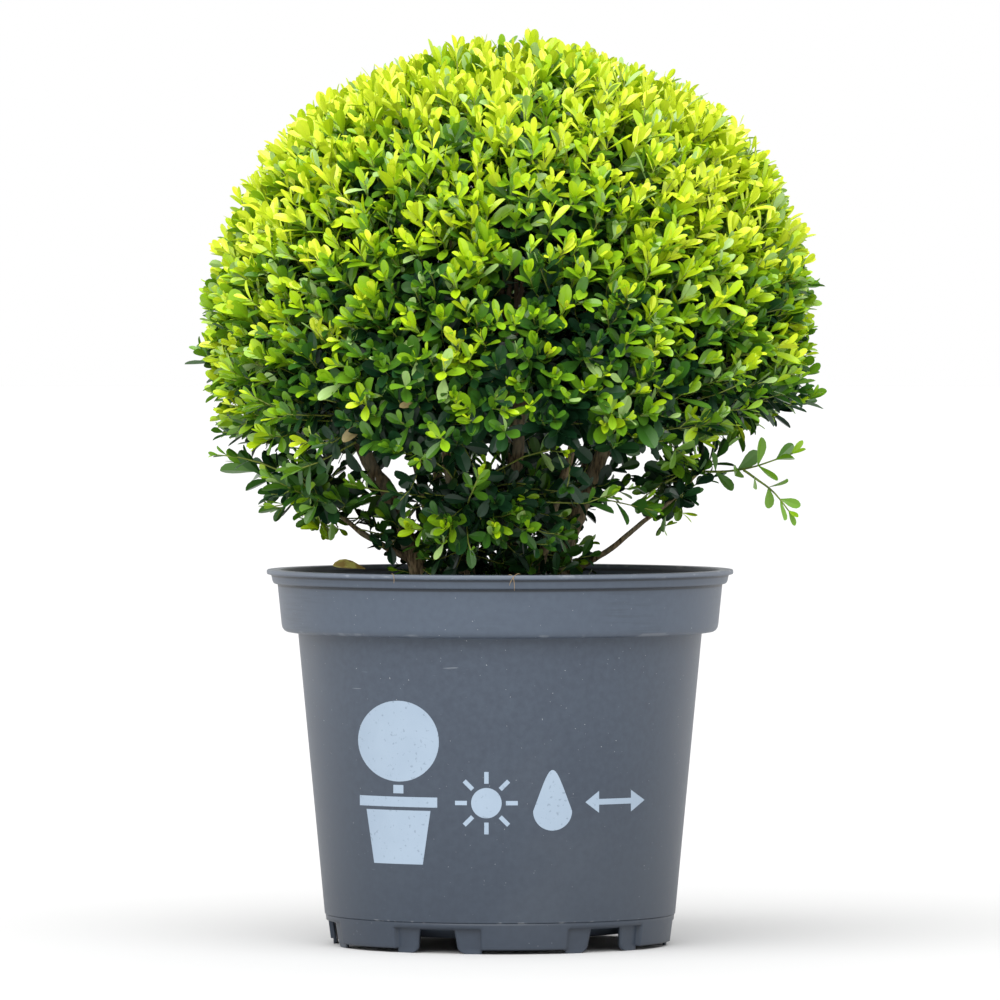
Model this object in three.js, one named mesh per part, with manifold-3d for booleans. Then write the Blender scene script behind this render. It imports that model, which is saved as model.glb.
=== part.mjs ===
// A clipped box ball, grown as a clump of stems in a ten-litre nursery pot.
// Millimetres, +Z up. The origin is on the floor under the middle of the pot, and
// the front of the plant faces -Y. A bearing is an angle in degrees round the pot,
// counted from the front towards the right-hand side.

import * as THREE from 'three';
import { mergeVertices } from 'three/addons/utils/BufferGeometryUtils.js';
import Module from 'manifold-3d';

const wasm = await Module();
wasm.setup();

// Driving dimensions ----------------------------------------------------------------

const CLEARANCE = 0.3; // air between two pieces that touch
const SEGMENTS = 48; // sides of everything that is turned about the pot's axis

// The pot: outer radii and the heights they belong to
const POT_HEIGHT = 225;
const WALL = 1.8;
const LIP_RADIUS = 140;
const LIP_THICKNESS = 2.8;
const LIP_EDGE = 0.7; // the small rounding of the lip's rim
const RING_RADIUS = 136.8; // the stacking ring under the lip
const RING_HEIGHT = 5.4;
const BAND_TOP_RADIUS = 133.3;
const BAND_FOOT_RADIUS = 130.5;
const BAND_FOOT = 188;
const BAND_ROUNDING = 4;
const BODY_TOP_RADIUS = 121.2;
const BODY_FOOT_RADIUS = 105.2;
const SKIRT_TOP = 18.5;
const SKIRT_STEP = 0.5;
const SKIRT_FOOT_RADIUS = 102.6;
const SKIRT_FOOT = 2.5;
const FLOOR_TOP = 10;
const FLOOR_THICKNESS = 2;

// The notches round the skirt, each with two standing tabs and a drain hole
const NOTCH_COUNT = 6;
const FIRST_NOTCH = -21.7;
const NOTCH_HALF_ANGLE = 15.5;
const NOTCH_TOP = 15;
const NOTCH_DEPTH = 2.6;
const NOTCH_BORDER = 1.4; // degrees that a recess wall is wider than its notch
const TAB_ANGLE = 9.5;
const DRAIN_TOP = 14.2;
const DRAIN_TOP_WIDTH = 22;
const DRAIN_FOOT_WIDTH = 26;
const TAB_ROUNDING = 4;

// The potting mix, filled to a little below the rim
const MIX_TOP = 206;
const MIX_FOOT_RADIUS = 97;

// The clipped ball and the looser, unclipped foliage under it
const BALL_WIDTH = 370;
const BALL_TOP = 547;
const BALL_MIDDLE = 366;
const BALL_BASE = 300; // the clipped foliage is closed down to here
const BALL_OFFSET = 3; // the ball has grown a little to the right
const BASE_SQUASH = 0.12; // what is left of the depth under the base
const ROUGHNESS = 0.045; // unevenness, as a share of the radius

const BARK_BROWN = 0x7a6a55;
const LEAF_GREEN = 0x6f962a;
const DARK_LEAF_GREEN = 0x3d5a20;
const POT_GREY = 0x5a616e;
const MIX_BROWN = 0x2f261e;

// Small helpers ---------------------------------------------------------------------

function radians(degrees) {
  return THREE.MathUtils.degToRad(degrees);
}

// The point at a bearing, a distance from the pot's axis and a height
function place(bearing, reach, height) {
  const angle = radians(bearing);
  return new THREE.Vector3(reach * Math.sin(angle), -reach * Math.cos(angle), height);
}

// A closed mesh with its corners shared, as a solid that can be joined and cut
function toSolid(geometry) {
  const bare = geometry.clone();
  bare.deleteAttribute('normal');
  bare.deleteAttribute('uv');
  const merged = mergeVertices(bare, 1e-4);
  const corners = merged.index.array;
  const kept = [];
  for (let i = 0; i < corners.length; i += 3) {
    const [a, b, c] = [corners[i], corners[i + 1], corners[i + 2]];
    if (a !== b && b !== c && c !== a) {
      kept.push(a, b, c);
    }
  }
  const mesh = new wasm.Mesh({
    numProp: 3,
    vertProperties: new Float32Array(merged.attributes.position.array),
    triVerts: new Uint32Array(kept),
  });
  return new wasm.Manifold(mesh);
}

function toGeometry(solid) {
  const mesh = solid.getMesh();
  const geometry = new THREE.BufferGeometry();
  geometry.setAttribute('position', new THREE.BufferAttribute(mesh.vertProperties, 3));
  geometry.setIndex(new THREE.BufferAttribute(mesh.triVerts, 1));
  geometry.computeVertexNormals();
  return geometry;
}

// A profile of [radius, height] pairs, turned about the pot's axis
function turned(profile) {
  const points = profile.map(([radius, height]) => new THREE.Vector2(radius, height));
  return new THREE.LatheGeometry(points, SEGMENTS).rotateX(Math.PI / 2);
}

// A piece of ring between two radii, two bearings and two heights
function ringPiece(inner, outer, fromBearing, toBearing, low, high) {
  const from = radians(fromBearing - 90);
  const to = radians(toBearing - 90);
  const outline = new THREE.Shape();
  outline.absarc(0, 0, outer, from, to, false);
  outline.absarc(0, 0, inner, to, from, true);
  const settings = { depth: high - low, bevelEnabled: false, curveSegments: 3 };
  return new THREE.ExtrudeGeometry(outline, settings).translate(0, 0, low);
}

const group = new THREE.Group();

function addNode(name, geometry, color, roughness) {
  const material = new THREE.MeshStandardMaterial({ color, roughness, metalness: 0 });
  const mesh = new THREE.Mesh(geometry, material);
  mesh.name = name;
  group.add(mesh);
}

// The pot ---------------------------------------------------------------------------

// Quarter of a circle at the foot of the band, from underneath to the side
function bandCorner() {
  const steps = 2;
  const points = [];
  for (let step = 0; step <= steps; step += 1) {
    const angle = (step / steps) * (Math.PI / 2);
    const radius = BAND_FOOT_RADIUS - BAND_ROUNDING * (1 - Math.sin(angle));
    points.push([radius, BAND_FOOT + BAND_ROUNDING * (1 - Math.cos(angle))]);
  }
  return points;
}

function potProfile() {
  const lipFoot = POT_HEIGHT - LIP_THICKNESS;
  const ringFoot = lipFoot - RING_HEIGHT;
  const skirtInside = SKIRT_FOOT_RADIUS - WALL;
  return [
    [0, FLOOR_TOP - FLOOR_THICKNESS],
    [skirtInside, FLOOR_TOP - FLOOR_THICKNESS],
    [skirtInside, SKIRT_FOOT],
    [SKIRT_FOOT_RADIUS, SKIRT_FOOT],
    [BODY_FOOT_RADIUS - SKIRT_STEP, SKIRT_TOP],
    [BODY_FOOT_RADIUS, SKIRT_TOP + SKIRT_STEP],
    [BODY_TOP_RADIUS, BAND_FOOT],
    ...bandCorner(),
    [BAND_TOP_RADIUS, ringFoot],
    [RING_RADIUS, ringFoot + LIP_EDGE],
    [RING_RADIUS, lipFoot],
    [LIP_RADIUS, lipFoot + LIP_EDGE],
    [LIP_RADIUS, POT_HEIGHT - LIP_EDGE],
    [LIP_RADIUS - LIP_EDGE, POT_HEIGHT],
    [BAND_TOP_RADIUS - WALL, POT_HEIGHT],
    [BAND_FOOT_RADIUS - WALL, BAND_FOOT + WALL],
    [BODY_TOP_RADIUS - WALL, BAND_FOOT + WALL],
    [BODY_FOOT_RADIUS - WALL, SKIRT_TOP],
    [skirtInside, FLOOR_TOP],
    [0, FLOOR_TOP],
  ];
}

// The hole between two tabs, wider at the foot, seen square on and pushed through
function drainHole(bearing, reach) {
  const top = DRAIN_TOP_WIDTH / 2;
  const foot = DRAIN_FOOT_WIDTH / 2;
  const below = -1;
  const outline = new THREE.Shape();
  outline.moveTo(-top, DRAIN_TOP);
  outline.lineTo(-foot, TAB_ROUNDING);
  outline.quadraticCurveTo(-foot, 0, -foot - TAB_ROUNDING, 0);
  outline.lineTo(-foot - TAB_ROUNDING, below);
  outline.lineTo(foot + TAB_ROUNDING, below);
  outline.lineTo(foot + TAB_ROUNDING, 0);
  outline.quadraticCurveTo(foot, 0, foot, TAB_ROUNDING);
  outline.lineTo(top, DRAIN_TOP);
  const length = 16;
  const settings = { depth: length, bevelEnabled: false, curveSegments: 2 };
  const hole = new THREE.ExtrudeGeometry(outline, settings).rotateX(Math.PI / 2);
  hole.translate(0, -reach + length / 2, 0);
  return hole.rotateZ(radians(bearing));
}

function makePot() {
  const face = BODY_FOOT_RADIUS - NOTCH_DEPTH;
  const inside = face - WALL - 1;
  const beyond = BODY_FOOT_RADIUS + 5;
  let pot = toSolid(turned(potProfile()));
  for (let notch = 0; notch < NOTCH_COUNT; notch += 1) {
    const middle = FIRST_NOTCH + (notch * 360) / NOTCH_COUNT;
    const left = middle - NOTCH_HALF_ANGLE;
    const right = middle + NOTCH_HALF_ANGLE;
    const backing = ringPiece(inside, SKIRT_FOOT_RADIUS - 0.5,
      left - NOTCH_BORDER, right + NOTCH_BORDER, SKIRT_FOOT, NOTCH_TOP + WALL);
    const recess = ringPiece(face, beyond, left, right, -1, NOTCH_TOP);
    pot = pot.add(toSolid(backing)).subtract(toSolid(recess));
    for (const start of [left, right - TAB_ANGLE]) {
      const tab = ringPiece(inside, face, start, start + TAB_ANGLE, 0, SKIRT_FOOT + 1);
      pot = pot.add(toSolid(tab));
    }
    pot = pot.subtract(toSolid(drainHole(middle, face)));
  }
  return toGeometry(pot);
}

addNode('pot', makePot(), POT_GREY, 0.55);

// The potting mix, which fills the pot and follows the step in its wall ---------------

function makePottingMix() {
  const slack = WALL + CLEARANCE + 0.2;
  return turned([
    [0, FLOOR_TOP + CLEARANCE],
    [MIX_FOOT_RADIUS, FLOOR_TOP + CLEARANCE],
    [MIX_FOOT_RADIUS, SKIRT_TOP],
    [BODY_FOOT_RADIUS - slack, SKIRT_TOP + 1],
    [BODY_TOP_RADIUS - slack, BAND_FOOT + WALL + CLEARANCE],
    [BAND_FOOT_RADIUS - slack, BAND_FOOT + WALL + CLEARANCE],
    [BAND_FOOT_RADIUS - slack, MIX_TOP],
    [0, MIX_TOP],
  ]);
}

addNode('potting_mix', makePottingMix(), MIX_BROWN, 1);

// Limbs -------------------------------------------------------------------------------

// A round tapering limb along a curve. The first section is level, for a flat foot.
// A margin over 0 makes the same limb a little fatter and longer, to cut its socket.
function limb({ curve, footRadius, tipRadius, flare = 0 }, margin = 0) {
  const steps = 7;
  const sides = 6;
  const sections = [];
  let across = new THREE.Vector3(1, 0, 0);
  for (let step = 0; step <= steps; step += 1) {
    const along = step / steps;
    const tangent = curve.getTangent(along);
    across = across.clone().addScaledVector(tangent, -across.dot(tangent)).normalize();
    const overshoot = margin * (Number(step === steps) - Number(step === 0));
    const centre = curve.getPoint(along).addScaledVector(tangent, overshoot);
    const side = new THREE.Vector3().crossVectors(across, tangent);
    const taper = THREE.MathUtils.lerp(footRadius, tipRadius, along);
    const radius = taper + flare * Math.exp(-9 * along) + margin;
    sections.push({ centre, across, side, radius });
  }
  const geometry = new THREE.CylinderGeometry(1, 1, 1, sides, steps);
  const position = geometry.attributes.position;
  for (let i = 0; i < position.count; i += 1) {
    const section = sections[Math.round((position.getY(i) + 0.5) * steps)];
    const point = section.centre.clone();
    point.addScaledVector(section.across, position.getX(i) * section.radius);
    point.addScaledVector(section.side, position.getZ(i) * section.radius);
    position.setXYZ(i, point.x, point.y, point.z);
  }
  return geometry;
}

// The stems of the clump: each comes up through the mix at a bearing and a distance
// from the middle, rises, and leans out to its end inside the clipped ball
const STEMS = [
  { name: 'stem_left', bearing: -80, foot: 47, reach: 92, height: 318, thickness: 11 },
  { name: 'stem_inner_left', bearing: -114, foot: 35, reach: 62, height: 312, thickness: 8 },
  { name: 'stem_front_left', bearing: -41, foot: 25, reach: 52, height: 308, thickness: 7 },
  { name: 'stem_middle', bearing: 39, foot: 12, reach: 19, height: 322, thickness: 9 },
  { name: 'stem_front_right', bearing: 44, foot: 32, reach: 64, height: 308, thickness: 6.5 },
  { name: 'stem_right', bearing: 91, foot: 34, reach: 71, height: 320, thickness: 11 },
  { name: 'stem_back_right', bearing: 132, foot: 37, reach: 84, height: 314, thickness: 8 },
  { name: 'stem_back', bearing: 171, foot: 26, reach: 60, height: 318, thickness: 9 },
  { name: 'stem_back_left', bearing: -147, foot: 37, reach: 86, height: 312, thickness: 7.5 },
];

function stemShape({ bearing, foot, reach, height, thickness }) {
  const base = MIX_TOP + CLEARANCE;
  const rise = height - base;
  return {
    curve: new THREE.CubicBezierCurve3(
      place(bearing, foot, base),
      place(bearing, foot, base + 0.3 * rise),
      place(bearing, foot + 0.65 * (reach - foot), base + 0.62 * rise),
      place(bearing, reach, height),
    ),
    footRadius: thickness / 2,
    tipRadius: 0.36 * thickness,
    flare: 0.16 * thickness,
  };
}

// The low boughs: each leaves a stem near the mix and arches out into loose foliage
const LOW_BOUGHS = [
  { name: 'low_bough_left', parent: 'stem_left', start: 0.22, bearing: -80, reach: 118, height: 276 },
  { name: 'low_bough_right', parent: 'stem_right', start: 0.12, bearing: 84, reach: 118, height: 282 },
  { name: 'low_bough_front', parent: 'stem_front_left', start: 0.2, bearing: -14, reach: 78, height: 262 },
  { name: 'low_bough_back', parent: 'stem_back', start: 0.25, bearing: 184, reach: 88, height: 264 },
];
const BOUGH_THICKNESS = 6;

function boughShape({ parent, start, bearing, reach, height }) {
  const stem = stemShape(STEMS.find(({ name }) => name === parent));
  const from = stem.curve.getPoint(start);
  const to = place(bearing, reach, height);
  const outwards = from.clone().lerp(to, 0.4);
  outwards.z = THREE.MathUtils.lerp(from.z, to.z, 0.3);
  const upwards = from.clone().lerp(to, 0.8);
  upwards.z = THREE.MathUtils.lerp(from.z, to.z, 0.66);
  return {
    curve: new THREE.CubicBezierCurve3(from, outwards, upwards, to),
    footRadius: BOUGH_THICKNESS / 2,
    tipRadius: BOUGH_THICKNESS / 3,
  };
}

// The thin leading shoot that has escaped the shears on the right, and its fork
const SPRIG_THICKNESS = 2.4;
const SPRIG_BEARING = 79;
const SPRIG_START = place(84, 120, 284);
const SPRIG_FORK = place(SPRIG_BEARING, 148, 285);
const SPRIG_TIP = place(SPRIG_BEARING, 178, 295);
const SPRIG_LOW_TIP = place(SPRIG_BEARING, 176, 260);

function twigShape(from, to, lift) {
  const middle = from.clone().lerp(to, 0.5);
  middle.z += lift;
  return {
    curve: new THREE.QuadraticBezierCurve3(from, middle, to),
    footRadius: SPRIG_THICKNESS / 2,
    tipRadius: SPRIG_THICKNESS / 3,
  };
}

const limbShapes = new Map();
for (const stem of STEMS) {
  limbShapes.set(stem.name, stemShape(stem));
}
for (const bough of LOW_BOUGHS) {
  limbShapes.set(bough.name, boughShape(bough));
}
limbShapes.set('sprig_twig', twigShape(SPRIG_START, SPRIG_TIP, -7));
limbShapes.set('sprig_fork', twigShape(SPRIG_FORK, SPRIG_LOW_TIP, 5));

const parentOf = new Map(LOW_BOUGHS.map(({ name, parent }) => [name, parent]));
parentOf.set('sprig_fork', 'sprig_twig');

// A limb that forks off another is cut to meet it
for (const [name, shape] of limbShapes) {
  let solid = toSolid(limb(shape));
  if (parentOf.has(name)) {
    const parent = limbShapes.get(parentOf.get(name));
    solid = solid.subtract(toSolid(limb(parent, CLEARANCE)));
  }
  addNode(name, toGeometry(solid), BARK_BROWN, 0.85);
}

// Foliage -----------------------------------------------------------------------------

// Smooth unevenness between -1 and 1 over the directions from a mass's middle
function unevenness({ x, y, z }, phase) {
  const broad = Math.sin(4 * x + phase) * Math.cos(5 * y - phase) + Math.sin(5 * z + 2 * phase);
  const fine = Math.sin(13 * x - phase) * Math.sin(11 * y + 2 * phase) * Math.cos(12 * z + phase);
  return (broad + fine) / 3;
}

// One closed, uneven mass that just fills its box; what reaches under the base is
// pressed up against it
function foliageMass({ low, high, base = -Infinity, detail, phase }) {
  const geometry = new THREE.IcosahedronGeometry(1, detail);
  const position = geometry.attributes.position;
  const direction = new THREE.Vector3();
  for (let i = 0; i < position.count; i += 1) {
    direction.fromBufferAttribute(position, i).normalize();
    direction.multiplyScalar(1 + ROUGHNESS * unevenness(direction, phase));
    position.setXYZ(i, direction.x, direction.y, direction.z);
  }
  geometry.computeBoundingBox();
  const box = geometry.boundingBox;
  const size = box.getSize(new THREE.Vector3());
  const wanted = high.clone().sub(low);
  geometry.translate(-box.min.x, -box.min.y, -box.min.z);
  geometry.scale(wanted.x / size.x, wanted.y / size.y, wanted.z / size.z);
  geometry.translate(low.x, low.y, low.z);
  for (let i = 0; i < position.count; i += 1) {
    const under = Math.max(0, base - position.getZ(i));
    position.setZ(i, position.getZ(i) + (1 - BASE_SQUASH) * under);
  }
  return geometry;
}

// The clipped ball; left whole, its underside would reach down into the pot
function ballShape(margin) {
  const radius = BALL_WIDTH / 2 + margin;
  const depth = BALL_TOP - BALL_MIDDLE + margin;
  return foliageMass({
    low: new THREE.Vector3(BALL_OFFSET - radius, -radius, BALL_MIDDLE - depth),
    high: new THREE.Vector3(BALL_OFFSET + radius, radius, BALL_MIDDLE + depth),
    base: BALL_BASE - margin,
    detail: 7,
    phase: 1.7,
  });
}

// Loose masses under the ball: where each one's middle is, and its half sizes
const LOOSE_MASSES = [
  { name: 'loose_foliage_left', middle: [-128, -4, 276], half: [36, 76, 34], phase: 0.4 },
  { name: 'loose_foliage_right', middle: [119, 0, 284], half: [27, 72, 30], phase: 2.2 },
  { name: 'loose_foliage_front', middle: [-2, -86, 266], half: [62, 42, 36], phase: 3.1 },
  { name: 'loose_foliage_back', middle: [4, 92, 268], half: [66, 42, 36], phase: 4.6 },
  { name: 'sprig_foliage', middle: [168, -33, 273], half: [16, 8, 26], detail: 2, phase: 5.3 },
];

function looseShape({ middle, half, phase, detail = 3 }) {
  const centre = new THREE.Vector3(...middle);
  const reach = new THREE.Vector3(...half);
  return foliageMass({
    low: centre.clone().sub(reach),
    high: centre.clone().add(reach),
    detail,
    phase,
  });
}

// Every mass is cut round the limbs that run into it
function cutRoundLimbs(mass) {
  let cut = mass;
  for (const shape of limbShapes.values()) {
    cut = cut.subtract(toSolid(limb(shape, CLEARANCE)));
  }
  return cut;
}

addNode('foliage_ball', toGeometry(cutRoundLimbs(toSolid(ballShape(0)))), LEAF_GREEN, 0.8);

const clippedBall = toSolid(ballShape(2 * CLEARANCE));
for (const loose of LOOSE_MASSES) {
  const solid = toSolid(looseShape(loose)).subtract(clippedBall);
  addNode(loose.name, toGeometry(cutRoundLimbs(solid)), DARK_LEAF_GREEN, 0.8);
}

export default group;
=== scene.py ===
# %% [markdown]
# # A clipped box ball in its nursery pot
#
# The plant is a clump of woody stems that fork again and again until they end in some
# two thousand leafy shoots. The shears hold those shoots to a ball, and under the ball
# a few low boughs still carry loose foliage. It grows in a round plastic pot.
#
# Everything below is in metres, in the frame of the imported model: the origin is on the
# floor under the pot's axis, Z is up and the front faces -Y.

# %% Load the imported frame
import math

import bmesh
import bpy
import numpy as np
from mathutils import Matrix, Vector, noise


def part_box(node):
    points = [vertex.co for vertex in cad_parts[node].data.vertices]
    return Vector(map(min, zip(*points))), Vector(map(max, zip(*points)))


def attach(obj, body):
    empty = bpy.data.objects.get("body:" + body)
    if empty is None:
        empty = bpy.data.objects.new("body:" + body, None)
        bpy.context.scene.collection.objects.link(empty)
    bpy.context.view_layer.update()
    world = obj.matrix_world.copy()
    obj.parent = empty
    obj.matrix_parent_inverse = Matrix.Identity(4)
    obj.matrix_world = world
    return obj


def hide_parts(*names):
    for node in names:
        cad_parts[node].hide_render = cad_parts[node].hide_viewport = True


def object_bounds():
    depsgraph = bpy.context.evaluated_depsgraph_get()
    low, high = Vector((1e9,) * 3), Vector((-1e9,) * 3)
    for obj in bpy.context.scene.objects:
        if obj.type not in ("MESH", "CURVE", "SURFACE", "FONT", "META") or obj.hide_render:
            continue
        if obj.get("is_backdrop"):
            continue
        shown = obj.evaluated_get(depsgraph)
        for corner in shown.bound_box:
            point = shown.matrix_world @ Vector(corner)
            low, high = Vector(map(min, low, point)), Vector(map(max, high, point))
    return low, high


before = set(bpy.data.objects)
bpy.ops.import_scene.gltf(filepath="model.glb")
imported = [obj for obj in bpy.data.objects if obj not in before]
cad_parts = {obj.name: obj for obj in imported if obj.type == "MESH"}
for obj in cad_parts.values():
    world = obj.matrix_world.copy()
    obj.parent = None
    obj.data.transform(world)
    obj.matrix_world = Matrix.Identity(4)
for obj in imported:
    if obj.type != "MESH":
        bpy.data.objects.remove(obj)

MM = 0.001
SEED = 20
CAD_LOW, CAD_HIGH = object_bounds()
BODY = "root"
scene = bpy.context.scene
dice = np.random.default_rng(SEED)
noise.seed_set(SEED)
print("packed model:", [round(side, 3) for side in CAD_HIGH - CAD_LOW], "m")

# %% [markdown]
# ## Camera
#
# A long lens from six metres away keeps the pot's sides almost parallel, so that the
# round rim shows as a very flat ellipse. The eye is a little over the middle of the ball.

# %% Camera
camera_data = bpy.data.cameras.new("camera")
camera_data.sensor_width = 36
camera_data.lens = 360
camera = bpy.data.objects.new("camera", camera_data)
camera.location = (0, -6, 0.384)
aim = Vector((0, 0, 0.2665))
camera.rotation_euler = (aim - camera.location).to_track_quat("-Z", "Y").to_euler()
scene.collection.objects.link(camera)
scene.camera = camera
print("camera lens", camera_data.lens, "mm")

# %% [markdown]
# ## Finishes
#
# A finish is one Principled shader. Numbers that are the same all over go straight on
# its sockets. Patterns are sums and products of noise, and they are easier to read as
# Python expressions, so a small class wraps a socket and adds a Math node for each
# operator. `finish.node(...)` adds any other node.

# %% Shader maths
class Wire:
    """A socket of a finish, or a sum or product of such sockets."""

    def __init__(self, finish, socket):
        self.finish = finish
        self.socket = socket

    def maths(self, operation, *values):
        inputs = dict(enumerate((self, *values)))
        return self.finish.node("ShaderNodeMath", {"operation": operation}, inputs)

    def __add__(self, other):
        return self.maths("ADD", other)

    __radd__ = __add__

    def __sub__(self, other):
        return self.maths("SUBTRACT", other)

    def __rsub__(self, other):
        return (self * -1) + other

    def __mul__(self, other):
        return self.maths("MULTIPLY", other)

    __rmul__ = __mul__

    def step(self, low, high):
        """0 where the value is under low, 1 where it is over high, smooth between."""
        settings = {"interpolation_type": "SMOOTHSTEP"}
        return self.finish.node("ShaderNodeMapRange", settings, {0: self, 1: low, 2: high})

    def near(self, value, far, close):
        """1 where closer to the value than close, 0 where further off than far."""
        return (self - value).maths("ABSOLUTE").step(far, close)


class Finish:
    """A material with one Principled shader."""

    def __init__(self, name, constants):
        self.material = bpy.data.materials.new(name)
        self.material.use_nodes = True
        self.tree = self.material.node_tree
        self.shader = self.tree.nodes["Principled BSDF"]
        for socket, value in constants.items():
            self.shader.inputs[socket].default_value = value
        self.place = self.node("ShaderNodeTexCoord", output="Object")

    def plug(self, value, socket):
        if isinstance(value, Wire):
            self.tree.links.new(value.socket, socket)
        else:
            socket.default_value = value

    def node(self, kind, settings=None, inputs=None, output=0):
        made = self.tree.nodes.new(kind)
        for name, value in (settings or {}).items():
            setattr(made, name, value)
        for socket, value in (inputs or {}).items():
            self.plug(value, made.inputs[socket])
        return Wire(self, made.outputs[output])

    def grain(self, scale, detail, stretch=(1, 1, 1)):
        """Cloudy noise between about 0.3 and 0.7, in spots of about 1 / scale metres."""
        place = self.node("ShaderNodeMapping", None, {"Vector": self.place, "Scale": stretch})
        inputs = {"Vector": place, "Scale": scale, "Detail": detail}
        return self.node("ShaderNodeTexNoise", None, inputs)

    def height(self):
        """Height over the floor, in metres."""
        return self.node("ShaderNodeSeparateXYZ", None, {"Vector": self.place}, "Z")

    def blend(self, share, first, second):
        """A colour that goes from the first to the second as share goes from 0 to 1."""
        inputs = {"Factor": share, 6: first, 7: second}
        return self.node("ShaderNodeMix", {"data_type": "RGBA"}, inputs, 2)

    def coats(self, colour, *coats):
        """The colour under thin coats: (where each lies, how strong it is, its tint)."""
        for where, strength, shade in coats:
            colour = self.blend(where * strength, colour, tint(*shade))
        return colour

    def relief(self, height, depth, strength):
        inputs = {"Height": height, "Distance": depth, "Strength": strength}
        self.paint("Normal", self.node("ShaderNodeBump", None, inputs))

    def paint(self, socket, value):
        self.plug(value, self.shader.inputs[socket])


def tint(red, green, blue):
    """A colour, 0 to 255 a channel, as the shader wants it."""
    linear = [(part / 255) ** 2.2 for part in (red, green, blue)]
    return (*linear, 1.0)


# %% [markdown]
# ## Making pieces
#
# Every piece gets one finish, rides on the plant's only body, and hides the imported nodes
# that it stands for. Small things that are many, such as leaves, are worked out together as
# arrays of points and faces.

# %% Piece helpers
def new_piece(name, mesh, finish, stands_for, smooth=True):
    """Puts a mesh in the scene as a piece of the plant."""
    mesh.name = name
    mesh.materials.append(finish.material)
    piece = bpy.data.objects.new(name, mesh)
    scene.collection.objects.link(piece)
    mesh.polygons.foreach_set("use_smooth", [smooth] * len(mesh.polygons))
    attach(piece, BODY)
    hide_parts(*stands_for)
    print(name, len(mesh.vertices), "points,", len(mesh.polygons), "faces")


def mesh_from(bm):
    """A mesh from what bmesh has made. It gets the name of its piece later."""
    mesh = bpy.data.meshes.new("mesh")
    bm.to_mesh(mesh)
    bm.free()
    return mesh


def parts_of(made, kind):
    """The parts of one kind among all that a bmesh operator made."""
    return [part for part in made["geom"] if isinstance(part, kind)]


def mesh_from_arrays(points, *kinds):
    """A mesh from an (n, 3) array of points and arrays of faces, one array for each
    number of corners."""
    mesh = bpy.data.meshes.new("mesh")
    corners = np.concatenate([faces.ravel() for faces in kinds])
    sizes = np.concatenate([np.full(len(faces), faces.shape[1]) for faces in kinds])
    starts = np.cumsum(sizes) - sizes
    mesh.vertices.add(len(points))
    mesh.vertices.foreach_set("co", np.ascontiguousarray(points, np.float32).ravel())
    mesh.loops.add(len(corners))
    mesh.loops.foreach_set("vertex_index", corners.astype(np.int32))
    mesh.polygons.add(len(sizes))
    mesh.polygons.foreach_set("loop_start", starts.astype(np.int32))
    mesh.update(calc_edges=True)
    mesh.validate()
    return mesh


def unit(vectors):
    lengths = np.linalg.norm(vectors, axis=-1, keepdims=True)
    return vectors / np.maximum(lengths, 1e-9)


def at_bearing(bearing, reach, height):
    """The point at a bearing from the front, a distance from the axis and a height."""
    angle = math.radians(bearing)
    return np.array([reach * math.sin(angle), -reach * math.cos(angle), height])


def spots(table):
    """Points from rows of (bearing, distance from the axis, height), in millimetres."""
    return np.array([at_bearing(row[0], row[1] * MM, row[2] * MM) for row in table])


# %% [markdown]
# ## The pot
#
# A ten-litre nursery pot is injection moulded with a wall of under two millimetres. The
# band and the lip under the rim make it stiff, and the skirt at the foot has six shallow
# notches, each with a drain hole between two tabs that the pot stands on.
#
# The wall is one outline spun round the axis. Each corner of the outline is rounded off,
# because a sharp corner never catches the light.

# %% Pot sizes
POT_DARK = tint(58, 66, 79)
POT_LIGHT = tint(69, 79, 92)
POT_WALL = 1.8 * MM
SKIRT_TOP = 18.5 * MM
SKIRT_TOP_RADIUS = 104.75 * MM
SKIRT_FOOT_RADIUS = 102.6 * MM
SKIRT_FOOT = 2.5 * MM
NOTCH_COUNT = 6
NOTCH_SPACING = 360 / NOTCH_COUNT
FIRST_NOTCH = -21.7
NOTCH_HALF_ANGLE = 15.5
NOTCH_TOP = 15 * MM
NOTCH_DEPTH = 2.6 * MM
DRAIN_TOP_WIDTH = 22 * MM
DRAIN_FOOT_WIDTH = 26 * MM
DRAIN_TOP = 14.3 * MM
TAB_ROUNDING = 4 * MM

# (radius, height, rounding) in millimetres, up the outside and down the inside
WALL_OUTLINE = [
    (105.2, 18.6, 0.3), (121.2, 187.4, 0.8), (130.6, 187.6, 4.5), (133.5, 216.4, 0.7),
    (136.2, 216.6, 2.2), (137.4, 222.0, 0.4), (140.0, 222.2, 0.9), (140.0, 225.0, 1.1),
    (131.6, 225.0, 1.2), (128.8, 189.4, 2.0), (119.3, 189.2, 2.0), (103.4, 18.6, 0.2),
]


def rounded(outline, steps=4):
    """The outline with each corner swapped for a small curve."""
    points = []
    corners = [Vector(corner[:2]) * MM for corner in outline]
    for i, corner in enumerate(corners):
        before = corners[i - 1] - corner
        after = corners[(i + 1) % len(corners)] - corner
        radius = outline[i][2] * MM
        start = corner + before.normalized() * min(radius, before.length / 2.2)
        end = corner + after.normalized() * min(radius, after.length / 2.2)
        for step in range(steps + 1):
            t = step / steps
            points.append(start * (1 - t) ** 2 + corner * 2 * t * (1 - t) + end * t ** 2)
    return points


def spun(bm, outline, steps, closed=True):
    """Spins an outline of (radius, height) points round the pot's axis."""
    verts = [bm.verts.new((point[0], 0, point[1])) for point in outline]
    pairs = list(zip(verts, verts[1:]))
    if closed:
        pairs.append((verts[-1], verts[0]))
    edges = [bm.edges.new(pair) for pair in pairs]
    bmesh.ops.spin(bm, geom=verts + edges, cent=(0, 0, 0), axis=(0, 0, 1), angle=math.tau,
                   steps=steps, use_merge=True, use_duplicate=False)
    bmesh.ops.remove_doubles(bm, verts=bm.verts, dist=1e-6)
    bmesh.ops.recalc_face_normals(bm, faces=bm.faces)


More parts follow.
